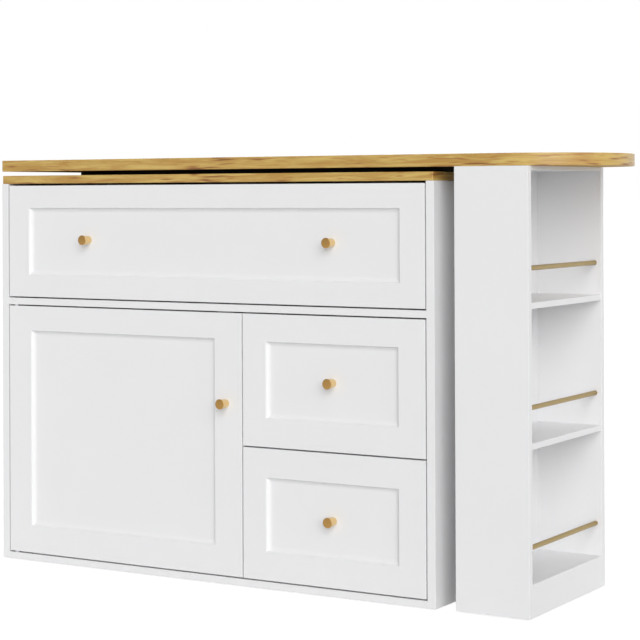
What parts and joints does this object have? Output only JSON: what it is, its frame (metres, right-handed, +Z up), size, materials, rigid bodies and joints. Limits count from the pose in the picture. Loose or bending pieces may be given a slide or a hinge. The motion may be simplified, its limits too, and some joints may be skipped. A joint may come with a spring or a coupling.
{
  "type": "kitchen island",
  "caption": "White kitchen island with drawers and a cupboard, two oak tops, and a swivelling upper top that stands on an open shelf rack with casters.",
  "frame": {"origin": "on the floor, under the middle of the whole object's box", "axes": "+X along the front towards the rack, +Y to the back, +Z up"},
  "size_m": [1.432, 0.3984, 0.9],
  "materials": {
    "painted_board": "satin white lacquer on board",
    "drawer_board": "white melamine",
    "oak": "golden oak, satin",
    "satin_brass": "satin brass",
    "zinc_steel": "zinc plated steel",
    "black_steel": "black powder coat",
    "white_plastic": "white nylon",
    "caster_rubber": "grey rubber tread"
  },
  "bodies": {
    "cabinet": {"left_side_panel": "painted_board", "right_side_panel": "painted_board", "bottom_panel": "painted_board", "middle_deck": "painted_board", "centre_divider": "painted_board", "back_panel": "painted_board", "lower_top": "oak", "cupboard_shelf": "painted_board", "shelf_pins": "zinc_steel", "floor_glides": "white_plastic", "cabinet_rails": "zinc_steel", "door_pivot_pins": "zinc_steel", "magnetic_catch": "white_plastic", "bearing_lower_plate": "black_steel", "bearing_lower_screws": "zinc_steel"},
    "wide_drawer": {"wide_drawer_front": "painted_board", "wide_drawer_sides": "drawer_board", "wide_drawer_back": "drawer_board", "wide_drawer_base": "drawer_board", "wide_drawer_knobs": "satin_brass", "wide_drawer_knob_screws": "zinc_steel", "wide_drawer_box_rails": "zinc_steel"},
    "wide_drawer_middle_rails": {"wide_drawer_middle_rails": "zinc_steel"},
    "upper_drawer": {"upper_drawer_front": "painted_board", "upper_drawer_sides": "drawer_board", "upper_drawer_back": "drawer_board", "upper_drawer_base": "drawer_board", "upper_drawer_knob": "satin_brass", "upper_drawer_knob_screw": "zinc_steel", "upper_drawer_box_rails": "zinc_steel"},
    "upper_drawer_middle_rails": {"upper_drawer_middle_rails": "zinc_steel"},
    "lower_drawer": {"lower_drawer_front": "painted_board", "lower_drawer_sides": "drawer_board", "lower_drawer_back": "drawer_board", "lower_drawer_base": "drawer_board", "lower_drawer_knob": "satin_brass", "lower_drawer_knob_screw": "zinc_steel", "lower_drawer_box_rails": "zinc_steel"},
    "lower_drawer_middle_rails": {"lower_drawer_middle_rails": "zinc_steel"},
    "door": {"door_panel": "painted_board", "door_bushes": "zinc_steel", "door_knob": "satin_brass", "door_knob_screw": "zinc_steel", "strike_plate": "zinc_steel"},
    "swivel_top": {"upper_top": "oak", "bearing_upper_plate": "black_steel", "top_fixing_screws": "zinc_steel", "stiffener_bars": "black_steel", "rack_front_panel": "painted_board", "rack_back_panel": "painted_board", "rack_inner_panel": "painted_board", "rack_plinth": "painted_board", "rack_shelves": "painted_board", "guard_rods": "satin_brass", "caster_brackets": "zinc_steel", "caster_axles": "zinc_steel"},
    "bearing_cage": {"bearing_cage": "white_plastic", "bearing_balls": "zinc_steel"},
    "front_caster_wheel": {"front_caster_wheel": "caster_rubber"},
    "rear_caster_wheel": {"rear_caster_wheel": "caster_rubber"}
  },
  "joints": [
    {"name": "wide_drawer_slide", "type": "slide", "parent": "cabinet", "child": "wide_drawer", "axis": [0, -1, 0], "range_m": [0, 0.28]},
    {"name": "wide_drawer_middle_slide", "type": "slide", "parent": "cabinet", "child": "wide_drawer_middle_rails", "axis": [0, -1, 0], "range_m": [0, 0.14]},
    {"name": "upper_drawer_slide", "type": "slide", "parent": "cabinet", "child": "upper_drawer", "axis": [0, -1, 0], "range_m": [0, 0.28]},
    {"name": "upper_drawer_middle_slide", "type": "slide", "parent": "cabinet", "child": "upper_drawer_middle_rails", "axis": [0, -1, 0], "range_m": [0, 0.14]},
    {"name": "lower_drawer_slide", "type": "slide", "parent": "cabinet", "child": "lower_drawer", "axis": [0, -1, 0], "range_m": [0, 0.28]},
    {"name": "lower_drawer_middle_slide", "type": "slide", "parent": "cabinet", "child": "lower_drawer_middle_rails", "axis": [0, -1, 0], "range_m": [0, 0.14]},
    {"name": "door_hinge", "type": "hinge", "parent": "cabinet", "child": "door", "pos_m": [-0.679, -0.16775, 0.297], "axis": [0, 0, -1], "range_deg": [0, 100]},
    {"name": "top_swivel", "type": "hinge", "parent": "cabinet", "child": "swivel_top", "pos_m": [-0.529, 0.01225, 0.87025], "axis": [0, 0, 1], "range_deg": [-90, 90]},
    {"name": "cage_turn", "type": "hinge", "parent": "cabinet", "child": "bearing_cage", "pos_m": [-0.529, 0.01225, 0.87025], "axis": [0, 0, 1], "range_deg": [-45, 45]},
    {"name": "front_wheel_spin", "type": "hinge", "parent": "swivel_top", "child": "front_caster_wheel", "pos_m": [0.509, -0.09475, 0.022], "axis": [0.9947, -0.1025, 0], "continuous": true},
    {"name": "rear_wheel_spin", "type": "hinge", "parent": "swivel_top", "child": "rear_caster_wheel", "pos_m": [0.509, 0.11925, 0.022], "axis": [0.9947, 0.1025, 0], "continuous": true}
  ],
  "couplings": [
    {"joint": "wide_drawer_middle_slide", "follows": "wide_drawer_slide", "ratio": 0.5},
    {"joint": "upper_drawer_middle_slide", "follows": "upper_drawer_slide", "ratio": 0.5},
    {"joint": "lower_drawer_middle_slide", "follows": "lower_drawer_slide", "ratio": 0.5},
    {"joint": "cage_turn", "follows": "top_swivel", "ratio": 0.5}
  ]
}
